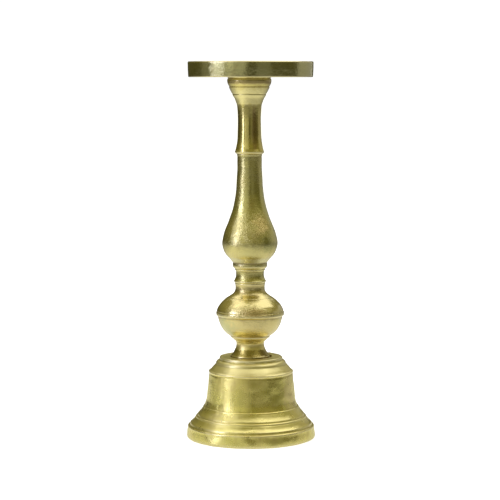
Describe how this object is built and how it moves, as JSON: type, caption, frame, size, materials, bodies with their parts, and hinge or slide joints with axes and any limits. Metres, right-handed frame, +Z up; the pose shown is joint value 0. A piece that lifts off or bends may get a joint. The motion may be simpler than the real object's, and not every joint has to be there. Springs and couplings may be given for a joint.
{
  "type": "pillar candle holder",
  "caption": "Turned brass pillar candle holder: a shallow round pan on a baluster stem of vase and knop sections, standing on a stepped bell-shaped base.",
  "frame": {"origin": "on the axis, at the plane that the bell's rim stands on", "axes": "+Z up along the axis of the stem; the object is round about Z, so +X and +Y are free"},
  "size_m": [0.1048, 0.1048, 0.305],
  "materials": {
    "cast_brass": "turned and hand-polished cast brass, slightly aged to olive, fine cast grain",
    "screw_brass": "bright turned brass",
    "zinc_steel": "zinc-plated steel"
  },
  "bodies": {
    "root": {"candle_pan": "cast_brass", "pan_screw": "screw_brass", "neck": "cast_brass", "vase": "cast_brass", "spool": "cast_brass", "knop": "cast_brass", "foot": "cast_brass", "bell_base": "cast_brass", "tie_rod": "zinc_steel", "base_washer": "zinc_steel", "spring_washer": "zinc_steel", "base_nut": "zinc_steel"}
  },
  "joints": []
}
